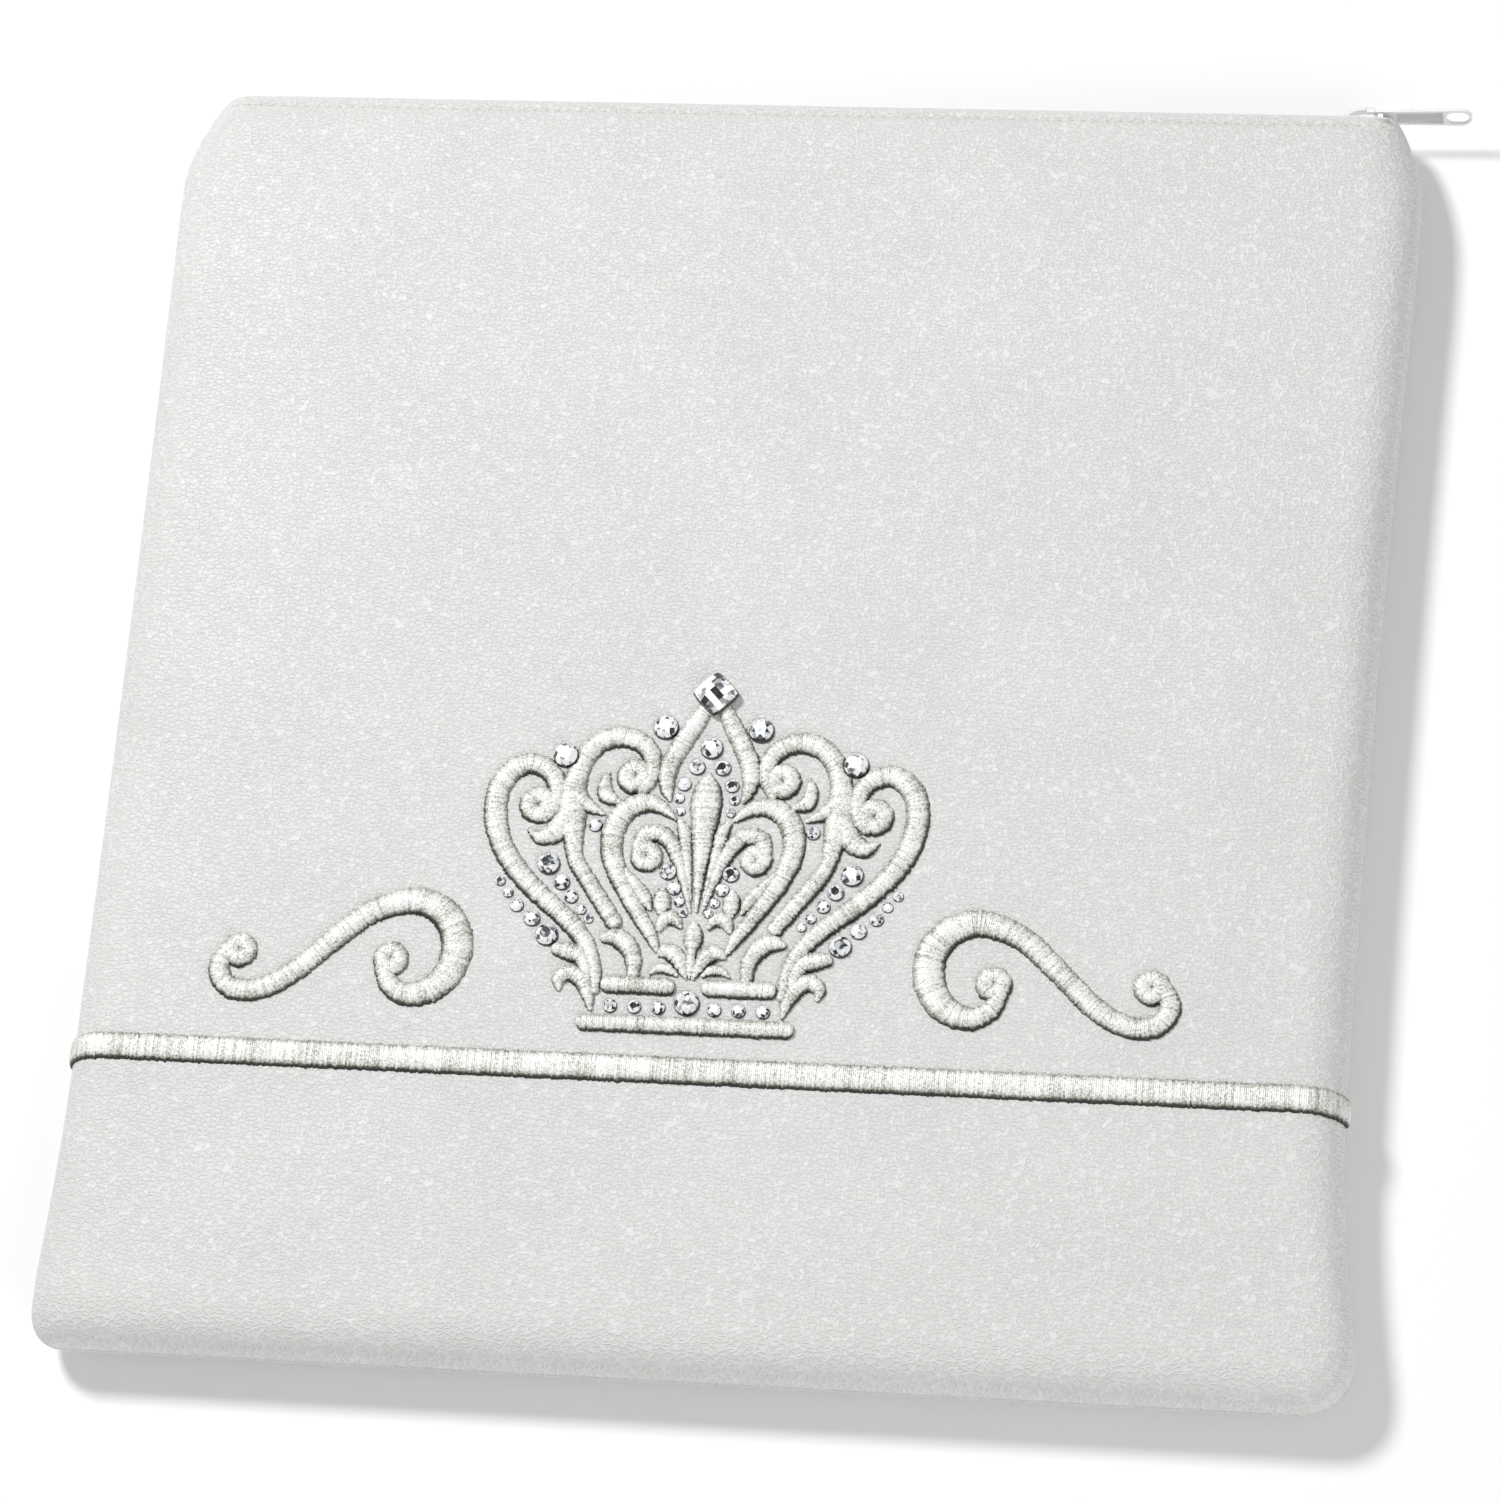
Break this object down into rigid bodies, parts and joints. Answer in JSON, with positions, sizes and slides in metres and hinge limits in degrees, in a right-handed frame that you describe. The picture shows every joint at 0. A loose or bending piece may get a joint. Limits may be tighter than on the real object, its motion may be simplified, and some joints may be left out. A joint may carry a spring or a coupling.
{
  "type": "padded zip pouch",
  "caption": "Flat padded leather pouch with a zip along one edge, its front worked with a raised satin band, a crown set with stones and two scrolls.",
  "frame": {"origin": "centre of the back face, on the surface the pouch lies on", "axes": "+Z out of the embroidered front, +Y towards the zip, +X to the right, where the closed zip's slider rests"},
  "size_m": [0.3623, 0.372, 0.031],
  "materials": {
    "leather": "soft white grained leather, low sheen",
    "wadding": "lofty polyester wadding",
    "lining": "white woven lining, slight sheen",
    "zip_tape": "white woven tape",
    "zip_coil": "white nylon coil",
    "zip_stop": "white enamelled metal",
    "enamel": "white enamel with fine grey flecks",
    "thread": "silver-white rayon thread, satin sheen",
    "stone": "clear foil-backed cut glass"
  },
  "bodies": {
    "back": {"back_leather": "leather", "back_wadding": "wadding", "back_lining": "lining", "back_zip_tape": "zip_tape", "back_zip_coil": "zip_coil", "back_top_stop": "zip_stop", "zip_bottom_stop": "zip_stop"},
    "front": {"front_leather": "leather", "front_wadding": "wadding", "front_lining": "lining", "front_zip_tape": "zip_tape", "front_zip_coil": "zip_coil", "front_top_stop": "zip_stop", "satin_band": "thread", "crown_base_bar": "thread", "crown_bud": "thread", "crown_centre_petal": "thread", "crown_outer_scroll_left": "thread", "crown_outer_scroll_right": "thread", "crown_inner_scroll_left": "thread", "crown_inner_scroll_right": "thread", "crown_heart_left": "thread", "crown_heart_right": "thread", "crown_peak_left": "thread", "crown_peak_right": "thread", "crown_side_petal_left": "thread", "crown_side_petal_right": "thread", "crown_crescents_left": "thread", "crown_crescents_right": "thread", "crown_leaves_left": "thread", "crown_leaves_right": "thread", "crown_rim_bar_left": "thread", "crown_rim_bar_right": "thread", "crown_acanthus_left": "thread", "crown_acanthus_right": "thread", "side_scroll_left": "thread", "side_scroll_right": "thread", "stones_large": "stone", "stones_medium": "stone", "stones_small": "stone", "stones_fine": "stone", "stones_tiny": "stone", "stones_seed": "stone", "stone_square": "stone"},
    "slider": {"slider_body": "enamel", "slider_bridge": "enamel"},
    "pull": {"pull_tab": "enamel"}
  },
  "joints": [
    {"name": "mouth_open", "type": "hinge", "parent": "back", "child": "front", "pos_m": [0, -0.184, 0.013], "axis": [1, 0, 0], "range_deg": [0, 6], "deforming": ["front_zip_tape", "front_zip_coil"]},
    {"name": "slider_travel", "type": "slide", "parent": "back", "child": "slider", "axis": [-1, 0, 0], "range_m": [0, 0.29], "deforming": ["back_zip_coil"]},
    {"name": "pull_swing", "type": "hinge", "parent": "slider", "child": "pull", "pos_m": [0.1589, 0.1855, 0.013], "axis": [0, 0, 1], "range_deg": [0, 120]}
  ],
  "couplings": [
    {"joint": "slider_travel", "follows": "mouth_open", "m_per_rad": 2.75}
  ]
}
